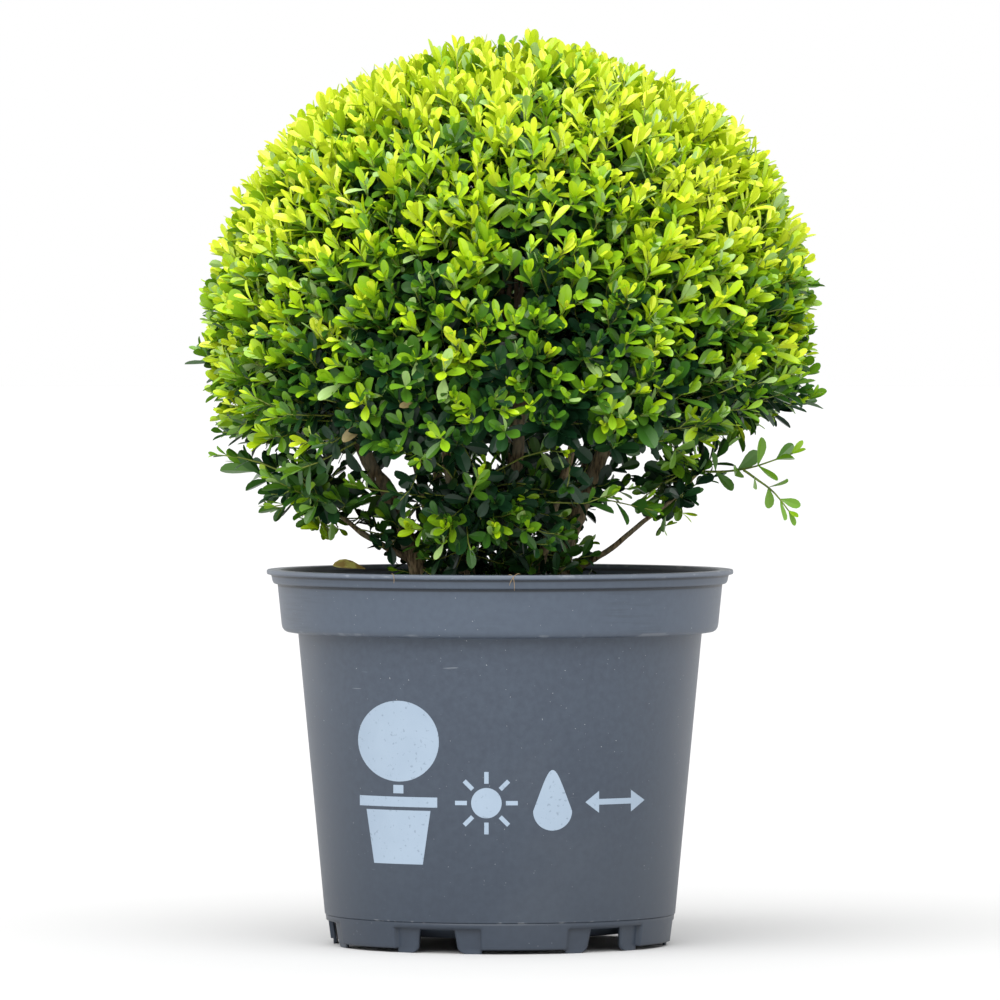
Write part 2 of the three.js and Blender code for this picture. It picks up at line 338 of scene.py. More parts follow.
# %% [markdown]
# The skirt starts as a strip of small squares round the foot. The squares in a notch are
# extruded inwards, so the notch gets its side walls and its ceiling, the tabs are pulled
# down to the floor, and the squares of the drain hole are deleted. The columns that are
# left then lean along the slanting sides of the hole, and solidify gives the strip its wall.

# %% Pot skirt
COLUMNS_IN_NOTCH = 32
COLUMNS_PER_SIXTH = 62
DRAIN_COLUMNS = 14
DRAIN_EDGE = DRAIN_COLUMNS / COLUMNS_IN_NOTCH
SKIRT_ROWS = [2.5, 3.6, 5.5, 8.5, 12, 14.2, 15, 16.8, 18.45]
TAB_ROWS = [1.7, 0.9, 0.3, 0]
A_HAIR = 0.1 * MM


def skirt_radius(height):
    share = (height - SKIRT_FOOT) / (SKIRT_TOP - SKIRT_FOOT)
    return SKIRT_FOOT_RADIUS + share * (SKIRT_TOP_RADIUS - SKIRT_FOOT_RADIUS)


def reach_of(vert):
    return math.hypot(vert.co.x, vert.co.y)


def bearing_of(vert):
    return math.degrees(math.atan2(vert.co.x, -vert.co.y))


def notch_share(vert):
    """Where a point lies across its notch, from -1 to 1; beyond that is plain skirt."""
    half = NOTCH_SPACING / 2
    return ((bearing_of(vert) - FIRST_NOTCH + half) % NOTCH_SPACING - half) / NOTCH_HALF_ANGLE


def within(part, share):
    return all(abs(notch_share(vert)) < share + 1e-3 for vert in part.verts)


def under(part, height):
    return all(vert.co.z < height for vert in part.verts)


def drain_half_width(height):
    """Half the width of the drain hole, rounded out at the foot of the tabs."""
    slant = (DRAIN_FOOT_WIDTH - DRAIN_TOP_WIDTH) / 2 * (1 - height / NOTCH_TOP)
    rounding = TAB_ROUNDING * max(0, 1 - height / TAB_ROUNDING) ** 2.5
    return DRAIN_TOP_WIDTH / 2 + slant + rounding


def slant_drain(vert):
    """Moves a point of a notch sideways, so that the drain's edge gets its slant."""
    share = notch_share(vert)
    size = abs(share)
    edge = math.degrees(drain_half_width(vert.co.z) / reach_of(vert)) / NOTCH_HALF_ANGLE
    if size > DRAIN_EDGE:
        moved = edge + (size - DRAIN_EDGE) / (1 - DRAIN_EDGE) * (1 - edge)
    else:
        moved = size / DRAIN_EDGE * edge
    turn = (math.copysign(moved, share) - share) * NOTCH_HALF_ANGLE
    vert.co = at_bearing(bearing_of(vert) + turn, reach_of(vert), vert.co.z)


def make_skirt():
    bm = bmesh.new()
    outline = [(skirt_radius(row * MM), row * MM) for row in SKIRT_ROWS]
    spun(bm, outline, NOTCH_COUNT * COLUMNS_PER_SIXTH, closed=False)
    turn = Matrix.Rotation(math.radians(FIRST_NOTCH + NOTCH_HALF_ANGLE - 90), 4, "Z")
    bmesh.ops.transform(bm, matrix=turn, verts=bm.verts)

    recess = [face for face in bm.faces if within(face, 1) and under(face, NOTCH_TOP + A_HAIR)]
    made = bmesh.ops.extrude_face_region(bm, geom=recess)
    bmesh.ops.delete(bm, geom=recess, context="FACES")
    pushed = parts_of(made, bmesh.types.BMVert)
    for vert in pushed:
        inwards = 1 - NOTCH_DEPTH / reach_of(vert)
        vert.co.x *= inwards
        vert.co.y *= inwards
    ledge = [face for face in bm.faces if under(face, SKIRT_FOOT + A_HAIR)]
    bmesh.ops.delete(bm, geom=ledge, context="FACES")

    recessed = {vert for vert in pushed if vert.is_valid}
    foot = [edge for edge in bm.edges if edge.is_boundary
            and recessed.issuperset(edge.verts) and under(edge, SKIRT_FOOT + A_HAIR)]
    for row in TAB_ROWS:
        made = bmesh.ops.extrude_edge_only(bm, edges=foot)
        fresh = parts_of(made, bmesh.types.BMVert)
        for vert in fresh:
            vert.co.z = row * MM
        foot = [edge for edge in parts_of(made, bmesh.types.BMEdge)
                if edge.is_boundary and under(edge, row * MM + 1e-6)]
        recessed.update(fresh)
    drain = [face for face in bm.faces if recessed.issuperset(face.verts)
             and within(face, DRAIN_EDGE) and under(face, DRAIN_TOP)]
    bmesh.ops.delete(bm, geom=drain, context="FACES")
    for vert in recessed:
        if vert.is_valid and vert.link_faces:
            slant_drain(vert)
    bmesh.ops.recalc_face_normals(bm, faces=bm.faces)
    sample = max(bm.faces, key=lambda face: face.calc_center_median().z)
    middle = sample.calc_center_median()
    if sample.normal.dot(Vector((middle.x, middle.y, 0))) < 0:
        bmesh.ops.reverse_faces(bm, faces=bm.faces)
    bmesh.ops.solidify(bm, geom=bm.faces, thickness=POT_WALL)
    return mesh_from(bm)


# %% [markdown]
# The plastic is a matt blue-grey polypropylene. It is faintly mottled, a little dusty, has
# tiny pale specks and a few fine scratches. Where pots rub together in the van, the lip,
# the ledge under the band and the head of the skirt are scuffed pale, and worn rings run
# round the band. Painted shade darkens the corners under the band's head and under the
# lip, the skirt, and the whole pot more and more towards the bottom. Painted light makes
# the band and the top of the lip paler.

# %% Pot plastic
BAND_FOOT = (186.8 * MM, 189 * MM)
BAND_LEDGE = 188.5 * MM
BAND_HEAD = 216 * MM
LIP_FOOT = 221.6 * MM
LIP_SIDE = (221.2 * MM, 224.8 * MM)
LIP_TOP_PAINTED_HIGHLIGHT = (222.6 * MM, 223.6 * MM)
SKIRT_HEAD = 18.7 * MM
# height where the painted shade towards the bottom fades out
PAINTED_SHADE_TOP = 190 * MM


def pot_finish():
    plastic = Finish("blue_grey_plastic", {"Specular IOR Level": 0.5})
    height = plastic.height()
    mottle = plastic.grain(18, 3) * 0.3 + plastic.grain(260, 3) * 0.7
    dust = plastic.grain(7, 4).step(0.5, 0.72)
    specks = plastic.grain(900, 0).step(0.85, 0.88)
    scratches = plastic.grain(55, 2, (1, 1, 15)).step(0.69, 0.73)
    scratches = scratches * plastic.grain(23, 2).step(0.63, 0.72)
    # painted shade: the pot is painted darker towards the bottom, fading out at the band
    painted_low_shade = 1 - height.step(0.0, PAINTED_SHADE_TOP)
    # painted shade: the skirt under its head is painted darker
    skirt = height.step(SKIRT_HEAD + 0.5 * MM, SKIRT_HEAD - 1.1 * MM)
    # painted light: the band is painted paler than the body; the same mask keeps the worn rings on
    # the band
    band_with_painted_light = height.step(*BAND_FOOT)
    worn_rings = plastic.grain(34, 3, (1, 1, 20)).step(0.42, 0.6)
    worn_rings = worn_rings * plastic.grain(12, 2).step(0.45, 0.62) * band_with_painted_light
    # painted shade: dark lines under the band's head and under the lip
    painted_shade_under_steps = height.near(BAND_HEAD, 1.5 * MM, 0.4 * MM)
    painted_shade_under_steps = painted_shade_under_steps + height.near(LIP_FOOT, 1.1 * MM, 0.3 * MM) * 0.9
    lip = height.step(*LIP_SIDE) * plastic.grain(130, 4, (1, 1, 3)).step(0.56, 0.72)
    ledge = height.near(BAND_LEDGE, 1.6 * MM, 0.4 * MM) * plastic.grain(48, 4).step(0.56, 0.64)
    step = height.near(SKIRT_HEAD, 0.8 * MM, 0.3 * MM) * plastic.grain(150, 4).step(0.56, 0.68)
    colour = plastic.coats(
        plastic.blend(mottle.step(0.14, 0.86), POT_DARK, POT_LIGHT),
        (dust, 0.06, (150, 150, 146)),
        (specks, 0.5, (190, 194, 198)),
        (scratches, 0.3, (178, 184, 190)),
        (painted_low_shade, 0.45, (36, 45, 56)),
        (skirt, 0.3, (40, 48, 60)),
        (band_with_painted_light, 0.24, (96, 108, 124)),
        (worn_rings, 0.3, (58, 66, 76)),
        (painted_shade_under_steps, 0.8, (30, 34, 40)),
        # painted highlight: the top of the lip is painted paler
        (height.step(*LIP_TOP_PAINTED_HIGHLIGHT), 0.3, (128, 134, 144)),
        (lip + ledge * 0.5 + step * 0.7, 0.28, (188, 192, 196)))
    plastic.paint("Base Color", colour)
    plastic.paint("Roughness", 0.36 + mottle * 0.16)
    plastic.relief(plastic.grain(700, 3) + scratches, 0.04 * MM, 0.5)
    return plastic


# %% Make the pot
# (radius, height) in millimetres, from the middle outwards and back
FLOOR_OUTLINE = [(0, 8), (78, 8), (102.2, 17), (102.4, 18.5), (77, 10), (0, 10)]

pot_plastic = pot_finish()
bm = bmesh.new()
spun(bm, rounded(WALL_OUTLINE), 240)
new_piece("pot_wall", mesh_from(bm), pot_plastic, ["pot"])
new_piece("pot_skirt", make_skirt(), pot_plastic, ["pot"])
bm = bmesh.new()
spun(bm, [Vector(point) * MM for point in FLOOR_OUTLINE], 120, closed=False)
new_piece("pot_floor", mesh_from(bm), pot_plastic, ["pot"], smooth=False)

# %% [markdown]
# ## The print
#
# Pots for the trade carry care signs in one pale ink. Here they are a clipped ball over
# its pot, a sun, a drop of water and the room that the plant takes. The ink is a film a
# tenth of a millimetre thick. Its shapes are laid out flat, cut into narrow upright
# strips so that they can bend, and then wrapped round the wall.

# %% Print shapes
INK_FILM = 0.1 * MM
INK_GAP = 0.02 * MM
STRIP = 3 * MM
SIGNS_HALF_WIDTH = 90 * MM
BODY_FOOT = Vector(WALL_OUTLINE[0][:2]) * MM
BODY_HEAD = Vector(WALL_OUTLINE[1][:2]) * MM


def body_radius(height):
    share = (height - BODY_FOOT.y) / (BODY_HEAD.y - BODY_FOOT.y)
    return BODY_FOOT.x + share * (BODY_HEAD.x - BODY_FOOT.x)


def disc(bm, across, height, radius, point=0):
    """A round, drawn out to a point at the top if point is over 0. In millimetres."""
    centre = Matrix.Translation((across * MM, height * MM, 0))
    ring = bmesh.ops.create_circle(bm, cap_ends=True, segments=56, radius=radius * MM,
                                   matrix=centre)["verts"]
    for vert in ring:
        rise = (vert.co.y / MM - height) / radius
        if point and rise > 0:
            vert.co.y += point * rise ** 2 * MM
            vert.co.x = across * MM + (vert.co.x - across * MM) * (1 - 0.35 * rise)


def bar(bm, across, height, wide, tall, turn=0, foot=1.0, away=0):
    """A bar in millimetres, turned about a point that it stands away from. Its foot is a
    share of its width."""
    place = (Matrix.Translation((across * MM, height * MM, 0))
             @ Matrix.Rotation(math.radians(turn), 4, "Z")
             @ Matrix.Translation((0, away * MM, 0))
             @ Matrix.Diagonal((wide * MM, tall * MM, 1, 1)))
    corners = bmesh.ops.create_grid(bm, x_segments=1, y_segments=1, size=0.5)["verts"]
    for vert in corners:
        if vert.co.y < 0:
            vert.co.x *= foot
    bmesh.ops.transform(bm, matrix=place, verts=corners)


def make_print():
    bm = bmesh.new()
    disc(bm, -60, 126, 24)
    for height, wide, tall, foot in [(97.5, 6, 5, 1), (90, 46, 6, 1), (69, 38, 32, 0.76)]:
        bar(bm, -60, height, wide, tall, foot=foot)
    disc(bm, -8, 90, 9)
    for ray in range(8):
        bar(bm, -8, 90, 2.6, 7, turn=ray * 45, away=15)
    disc(bm, 31, 85, 11.5, point=13)
    bar(bm, 68, 90, 19, 3.4)
    for turn in (90, -90):
        bar(bm, 68, 90, 13, 8, turn=turn, foot=0.02, away=-13.5)
    for cut in np.arange(-SIGNS_HALF_WIDTH, SIGNS_HALF_WIDTH, STRIP):
        geometry = list(bm.verts) + list(bm.edges) + list(bm.faces)
        bmesh.ops.bisect_plane(bm, geom=geometry, plane_co=(cut, 0, 0), plane_no=(1, 0, 0))
    made = bmesh.ops.extrude_face_region(bm, geom=list(bm.faces), use_keep_orig=True)
    bmesh.ops.translate(bm, verts=parts_of(made, bmesh.types.BMVert), vec=(0, 0, INK_FILM))
    for vert in bm.verts:
        radius = body_radius(vert.co.y)
        bearing = math.degrees(math.asin(vert.co.x / radius))
        vert.co = at_bearing(bearing, radius + INK_GAP + vert.co.z, vert.co.y)
    bmesh.ops.recalc_face_normals(bm, faces=bm.faces)
    return mesh_from(bm)


# %% Print ink
def ink_finish():
    ink = Finish("pale_ink", {"Specular IOR Level": 0.4})
    wear = ink.grain(420, 4).step(0.62, 0.7)
    cloud = ink.grain(40, 3)
    colour = ink.blend(cloud, tint(140, 156, 174), tint(156, 172, 188))
    colour = ink.blend(wear * 0.3, colour, POT_LIGHT)
    ink.paint("Base Color", colour)
    ink.paint("Roughness", 0.42 + cloud * 0.2)
    return ink


new_piece("care_signs", make_print(), ink_finish(), ["pot"], smooth=False)

# %% [markdown]
# ## Potting mix
#
# The mix is peat and composted bark. It fills the pot to two centimetres under the lip.
# The body is one outline spun round, with an uneven top, and over a thousand crumbs lie
# on it. All the crumbs are one mesh: a rough ball, repeated, each time squashed and
# dented in its own way.

# %% Potting mix
MIX_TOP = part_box("potting_mix")[1].z
MIX_RINGS = 34
CRUMBS = 1300
CRUMBS_REACH = 127 * MM

# (radius, height) in millimetres, from the middle of the foot out and up the wall
MIX_OUTLINE = [(0, 10.4), (76, 10.4), (99, 19.4), (104.2, 34), (117.9, 188.4),
               (127.6, 190.3), (129.2, 203)]
MIX_TOP_RADIUS = 128.6
MIX_TOP_LEVEL = 204


def mix_height(x, y):
    place = Vector((x, y, 0))
    broad = noise.noise(place * 35) * 2.4
    fine = noise.noise(place * 160) * 1.6 + noise.noise(place * 420) * 0.8
    return MIX_TOP - 2.2 * MM + (broad + fine) * MM


def make_mix():
    top = [(reach, MIX_TOP_LEVEL) for reach in np.linspace(MIX_TOP_RADIUS, 0, MIX_RINGS)]
    bm = bmesh.new()
    spun(bm, [Vector(point) * MM for point in MIX_OUTLINE + top], 120, closed=False)
    for vert in bm.verts:
        if vert.co.z > (MIX_TOP_LEVEL - 0.5) * MM:
            vert.co.z = mix_height(vert.co.x, vert.co.y)
    return mesh_from(bm)


def rough_ball():
    """The points and faces of a small rough ball."""
    bm = bmesh.new()
    bmesh.ops.create_icosphere(bm, subdivisions=1, radius=1)
    points = np.array([vert.co for vert in bm.verts])
    faces = np.array([[vert.index for vert in face.verts] for face in bm.faces])
    bm.free()
    return points, faces


def make_crumbs():
    ball, faces = rough_ball()
    reach = CRUMBS_REACH * np.sqrt(dice.random(CRUMBS))
    angle = dice.uniform(0, math.tau, CRUMBS)
    size = dice.gamma(3, 0.42, (CRUMBS, 1, 1)) + 0.35
    squash = dice.uniform(0.45, 1.3, (CRUMBS, 1, 3))
    dents = dice.uniform(0.7, 1.2, (CRUMBS, len(ball), 1))
    lumps = ball * size * squash * dents * MM
    x, y = reach * np.cos(angle), reach * np.sin(angle)
    z = np.array([mix_height(*place) for place in zip(x, y)])
    lumps += np.stack([x, y, z], axis=1)[:, None]
    first = np.arange(CRUMBS)[:, None, None] * len(ball)
    return mesh_from_arrays(lumps.reshape(-1, 3), (faces + first).reshape(-1, 3))


def peat_finish():
    peat = Finish("peat", {"Roughness": 0.95, "Specular IOR Level": 0.2})
    crumbs = peat.grain(380, 4).step(0.38, 0.62)
    fibres = peat.grain(260, 2, (1, 4, 1)).step(0.6, 0.7)
    colour = peat.blend(crumbs, tint(38, 30, 24), tint(84, 66, 48))
    peat.paint("Base Color", peat.coats(colour, (fibres, 0.5, (124, 100, 70))))
    peat.relief(crumbs, 0.8 * MM, 1.0)
    return peat


peat = peat_finish()
new_piece("potting_mix_body", make_mix(), peat, ["potting_mix"])
new_piece("crumbs", make_crumbs(), peat, ["potting_mix"], smooth=False)

# %% [markdown]
# ## Stems and low boughs
#
# Box wood grows slowly, so ten-year-old stems are no thicker than a finger. Their bark is
# thin, grey-brown and finely furrowed along its length, with small knots where old twigs
# were. Each limb starts as a circle that is extruded ring by ring along its curve, and
# the bark's relief is then pressed into the rings. Every stem starts a little way down
# in the mix, so that no gap shows round its foot.

# %% Limb shapes
# name: (bearing, distance from the axis at the foot and at the end, end height, thickness)
STEMS = {
    "stem_left": (-80, 47, 92, 318, 11),
    "stem_inner_left": (-114, 35, 62, 312, 8),
    "stem_front_left": (-41, 25, 52, 308, 7),
    "stem_middle": (39, 12, 19, 322, 9),
    "stem_front_right": (44, 32, 64, 308, 6.5),
    "stem_right": (91, 34, 71, 320, 11),
    "stem_back_right": (132, 37, 84, 314, 8),
    "stem_back": (171, 26, 60, 318, 9),
    "stem_back_left": (-147, 37, 86, 312, 7.5),
}

# name: (stem it leaves, how far up, bearing, distance from the axis and height at the end)
LOW_BOUGHS = {
    "low_bough_left": ("stem_left", 0.22, -80, 118, 276),
    "low_bough_right": ("stem_right", 0.12, 84, 118, 282),
    "low_bough_front": ("stem_front_left", 0.2, -14, 78, 262),
    "low_bough_back": ("stem_back", 0.25, 184, 88, 264),
}
BOUGH_THICKNESS = 4.2 * MM

# The sprig on the right: bearing, distance from the axis and height of its curves' points
SPRIG_TWIG = [(84, 120, 284), (79, 148, 282.5), (79, 178, 295)]
SPRIG_FORK = [(79, 148, 285), (79, 165, 277), (79, 176, 260)]
SPRIG_THICKNESS = 1.6 * MM
DEPTH_IN_MIX = 0.06
SWAY = 2.2 * MM


def bezier(knots, shares):
    """Points on the cubic curve through four knots, at each share of its length."""
    t = np.asarray(shares)[..., None]
    a, b, c, d = (knots[..., i, None, :] for i in range(4))
    return a * (1 - t) ** 3 + 3 * b * t * (1 - t) ** 2 + 3 * c * t * t * (1 - t) + d * t ** 3


def bezier_heading(knots, shares):
    t = np.asarray(shares)[..., None]
    a, b, c, d = (knots[..., i, None, :] for i in range(4))
    return unit((b - a) * (1 - t) ** 2 + 2 * (c - b) * t * (1 - t) + (d - c) * t * t)


def stem_knots(bearing, foot, reach, height, _thickness):
    """The knots of a stem that starts upright at the top of the mix and then leans out."""
    low = MIX_TOP / MM
    shares = [(0, 0), (0, 0.3), (0.65, 0.62), (1, 1)]
    return spots([(bearing, foot + out * (reach - foot), low + up * (height - low))
                  for out, up in shares])


def bough_knots(parent, start, bearing, reach, height):
    """The knots of a bough that leaves its stem almost level and then turns up."""
    origin = bezier(stem_knots(*STEMS[parent]), [start])[0]
    shares = np.array([[0, 0, 0], [0.4, 0.4, 0.3], [0.8, 0.8, 0.66], [1, 1, 1]])
    return origin + shares * (spots([(bearing, reach, height)])[0] - origin)


def twig_knots(places):
    """The four knots of a twig that bends once, through its start, bend and end."""
    start, bend, end = spots(places)
    return np.array([start, start + (bend - start) * 2 / 3, end + (bend - end) * 2 / 3, end])


# %% Skin with bark relief
def ring_frame(centre, heading, across, radius):
    """The matrix that puts a unit circle square across a limb."""
    side = heading.cross(across)
    frame_matrix = Matrix((across * radius, side * radius, heading * radius)).transposed()
    return Matrix.Translation(centre) @ frame_matrix.to_4x4()


def bark_relief(point, radius):
    """Furrows along the limb and a few knots, in metres."""
    along = Vector((point.x * 420, point.y * 420, point.z * 90))
    furrows = abs(noise.noise(along)) + 0.5 * abs(noise.noise(along * 2.3))
    knots = max(0, noise.noise(point * 110) - 0.25)
    return radius * (0.16 * furrows + 0.5 * knots - 0.06)


def limb_mesh(knots, foot_radius, tip_radius, flare=0, below=0, sections=44, sides=20):
    """A limb as a skin of rings, with its foot a share of its length below the start."""
    shares = np.linspace(-below, 1, sections)
    centres = [Vector(point) for point in bezier(knots, shares)]
    headings = [Vector(heading) for heading in bezier_heading(knots, shares)]
    bm = bmesh.new()
    ring = bmesh.ops.create_circle(bm, cap_ends=True, segments=sides, radius=1)["verts"]
    edges = list(bm.edges)
    across = Vector((1, 0, 0))
    placed = Matrix.Identity(4)
    dressed = []
    for i, (share, centre, heading) in enumerate(zip(shares, centres, headings)):
        if i > 0:
            made = bmesh.ops.extrude_edge_only(bm, edges=edges)
            ring = parts_of(made, bmesh.types.BMVert)
            fresh = set(ring)
            edges = [edge for edge in parts_of(made, bmesh.types.BMEdge)
                     if fresh.issuperset(edge.verts)]
        across = (across - heading * across.dot(heading)).normalized()
        taper = foot_radius + (tip_radius - foot_radius) * share
        radius = taper + flare * math.exp(-9 * share)
        sway = noise.noise_vector(centre * 45) * SWAY * max(0, math.sin(math.pi * share))
        wanted = ring_frame(centre + sway, heading, across, radius)
        bmesh.ops.transform(bm, matrix=wanted @ placed.inverted(), verts=ring)
        placed = wanted
        dressed += [(vert, centre + sway, radius) for vert in ring]
    bmesh.ops.contextual_create(bm, geom=edges)
    for vert, centre, radius in dressed:
        vert.co += (vert.co - centre).normalized() * bark_relief(vert.co, radius)
    bmesh.ops.recalc_face_normals(bm, faces=bm.faces)
    return mesh_from(bm)


def new_limb(node, finish, *sizes, **shape):
    """The bark of one limb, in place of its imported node."""
    new_piece(node + "_bark", limb_mesh(*sizes, **shape), finish, [node])


# %% Bark
def bark_finish():
    bark = Finish("furrowed_bark", {"Roughness": 0.85, "Specular IOR Level": 0.25})
    furrows = bark.grain(620, 4, (1, 1, 0.22)).step(0.36, 0.62)
    patches = bark.grain(90, 3).step(0.4, 0.62)
    moss = bark.grain(160, 2).step(0.6, 0.7)
    colour = bark.coats(bark.blend(furrows, tint(74, 64, 47), tint(140, 123, 94)),
                        (patches, 0.6, (132, 126, 104)), (moss, 0.3, (112, 116, 66)))
    bark.paint("Base Color", colour)
    bark.relief(furrows, 0.35 * MM, 0.8)
    return bark


bark = bark_finish()
limb_knots = {}
for name, sizes in STEMS.items():
    limb_knots[name] = stem_knots(*sizes)
    thickness = sizes[4] * MM
    new_limb(name, bark, limb_knots[name], thickness / 2, 0.36 * thickness,
             flare=0.16 * thickness, below=DEPTH_IN_MIX)
for name, sizes in LOW_BOUGHS.items():
    limb_knots[name] = bough_knots(*sizes)
    new_limb(name, bark, limb_knots[name], BOUGH_THICKNESS / 2, BOUGH_THICKNESS / 5)
limb_ends = {name: (knots[3], unit(knots[3] - knots[2])) for name, knots in limb_knots.items()}

# %% Twig of the sprig
def green_bark_finish():
    young = Finish("green_bark", {"Roughness": 0.6, "Specular IOR Level": 0.35})
    ribs = young.grain(500, 3, (0.3, 1, 1)).step(0.4, 0.6)
    young.paint("Base Color", young.blend(ribs, tint(88, 106, 46), tint(126, 146, 62)))
    return young


green_bark = green_bark_finish()
sprig_knots = {"sprig_twig": twig_knots(SPRIG_TWIG), "sprig_fork": twig_knots(SPRIG_FORK)}
for name, knots in sprig_knots.items():
    new_limb(name, green_bark, knots, SPRIG_THICKNESS / 2, SPRIG_THICKNESS / 4,
             sections=26, sides=10)

# %% [markdown]
# ## Where the shoots end
#
# The shears decide where the shoots of the ball end: all over a round, at about the same
# distance from one another, with a little unevenness, because new growth has pushed out
# since the last clipping. Towards the underside the shoots get fewer and the round draws
# in. Under the ball nothing was clipped: a few long shoots reach out from the low boughs,
# with short ones strewn between them, and daylight shows through.

# %% Ends of the shoots of the ball
BALL_LOW, BALL_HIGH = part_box("foliage_ball")
BALL_RADIUS = (BALL_HIGH.x - BALL_LOW.x) / 2
BALL_SHIFT = 1.5 * MM
BALL_MIDDLE = np.array([(BALL_LOW.x + BALL_HIGH.x) / 2 + BALL_SHIFT, 0,
                        BALL_HIGH.z - BALL_RADIUS])
LEAVES_BEYOND = 9 * MM
UNEVEN = 3 * MM
CLIPPED_SCATTER = 2.5
FLATTENED_TOP = 0.965
SHOULDERS = 0.03
LEAN = 0.04
SHOOTS_ON_WHOLE_BALL = 2800
UNDERSIDE_FROM = 0.322
UNDERSIDE_DEPTH = 0.062
DRAWN_IN = 0.14
DRAWN_IN_ON_RIGHT = 0.46
SIDES_THIN_BELOW = 0.345
SIDES_THINNED = 0.22
UP = np.array([0, 0, 1.0])


def ball_directions(count):
    """Directions spread evenly over a sphere, each nudged a little."""
    rank = np.arange(count) + 0.5
    height = 1 - 2 * rank / count
    angle = rank * math.pi * (3 - math.sqrt(5))
    ring = np.sqrt(1 - height ** 2)
    even = np.stack([ring * np.cos(angle), ring * np.sin(angle), height], axis=1)
    return unit(even + dice.normal(0, 0.35 * math.sqrt(4 * math.pi / count), even.shape))


def swell(directions, scale, seed):
    """Smooth noise over directions, about -1 to 1, the same for neighbours."""
    offset = Vector((seed * 7.3, seed * 3.1, seed * 5.7))
    return np.array([noise.noise(Vector(d) * scale + offset) for d in directions]) * 1.6


directions = ball_directions(SHOOTS_ON_WHOLE_BALL)
uneven = UNEVEN * swell(directions, 4, 1) + UNEVEN * swell(directions, 11, 2)
scatter = (CLIPPED_SCATTER + 4 * np.clip(0.1 - directions[:, 2], 0, 1)) * MM
reach = BALL_RADIUS - LEAVES_BEYOND + uneven + dice.normal(0, 1, len(directions)) * scatter
rise = np.maximum(directions[:, 2], 0)
reach *= 1 + 4 * SHOULDERS * rise ** 2 * (1 - rise ** 2)
ball_ends = BALL_MIDDLE + directions * reach[:, None]
above = np.maximum(ball_ends[:, 2] - BALL_MIDDLE[2], 0)
ball_ends[:, 2] -= above * (1 - FLATTENED_TOP)
ball_ends[:, 0] += above * LEAN

# the underside: depth goes from 0 where it starts to 1 at its foot
depth = np.clip((UNDERSIDE_FROM - ball_ends[:, 2]) / UNDERSIDE_DEPTH, 0, 1)
to_right = np.maximum(directions[:, 0], 0)
draw_in = DRAWN_IN_ON_RIGHT * to_right ** 1.5 * depth ** 0.6 + DRAWN_IN * depth ** 2
draw_in = draw_in + 0.04 * swell(directions, 5, 4) * depth
ball_ends[:, :2] *= 1 - draw_in[:, None]
thin_spots = swell(directions, 7, 3) > 0.7 - 0.6 * depth
low_side = (np.abs(directions[:, 0]) > 0.55) & (ball_ends[:, 2] < SIDES_THIN_BELOW)
kept = (dice.random(len(depth)) > depth ** 0.7 + SIDES_THINNED * low_side) & ~thin_spots
ball_ends = ball_ends[kept]
print("shoots on the ball:", len(ball_ends))

# %% Ends of the loose shoots
# node: (bough that feeds it, short shoots strewn through it, how far they reach out)
LOOSE_MASSES = {
    "loose_foliage_left": ("low_bough_left", 13, 0.88),
    "loose_foliage_right": ("low_bough_right", 5, 0.78),
    "loose_foliage_front": ("low_bough_front", 44, 1.0),
    "loose_foliage_back": ("low_bough_back", 44, 1.0),
}

# bough: (bearing, distance from the axis, height) of the end of each long shoot
LONG_SHOOTS = {
    "low_bough_left": [(-81, 171, 294), (-84, 136, 263), (-68, 146, 280), (-97, 158, 288),
                       (-76, 112, 250), (-112, 134, 271)],
    "low_bough_right": [(84, 110, 259), (62, 118, 290), (104, 110, 288), (92, 100, 251),
                        (118, 114, 271)],
    "low_bough_front": [(-24, 134, 296), (16, 136, 297), (-5, 140, 284), (31, 128, 272),
                        (-42, 132, 278), (4, 124, 262), (-16, 120, 252), (47, 124, 262)],
    "low_bough_back": [(158, 132, 290), (196, 138, 292), (178, 140, 276), (216, 130, 270),
                       (140, 128, 272), (188, 122, 256), (168, 118, 250)],
}


def strewn(node, count, reach_out):
    """Points strewn through a loose mass, more of them near its surface."""
    low, high = (np.array(corner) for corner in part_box(node))
    ball = unit(dice.normal(size=(count, 3))) * dice.random((count, 1)) ** 0.4
    points = (low + high) / 2 + ball * (high - low) / 2
    return points * np.array([reach_out, reach_out, 1])


loose_ends = {node: strewn(node, *sizes) for node, (_, *sizes) in LOOSE_MASSES.items()}

# %% [markdown]
# ## The branching rule
#
# A limb that has many shoots to feed forks in two, and shares them out between its two
# branches by direction. Each branch does the same, until a branch has one shoot left.
# The more shoots a branch feeds, the thicker it is and the further below the surface it
# forks, which is what a clipped shrub looks like inside: bare wood in the middle and a
# dense shell of twigs.

# %% Grow the wood
SHOOT_LENGTH = 46 * MM
SPREAD = 13 * MM
TWIG_RADIUS = 0.5 * MM
THICKENING = 0.36
BEND = 0.36
STEM_FAN_RADIUS = 0.1

twigs = []
shoots = []
BALL, STREWN, LONG, SPUR = range(4)


def branch_radius(fed):
    return TWIG_RADIUS * fed ** THICKENING


def curve_between(start, heading, end, end_heading):
    """The knots of one curve, or of many at once, from their ends and headings."""
    reach = np.linalg.norm(end - start, axis=-1, keepdims=True)
    return np.stack([start, start + heading * reach * BEND,
                     end - end_heading * reach * BEND, end], axis=-2)


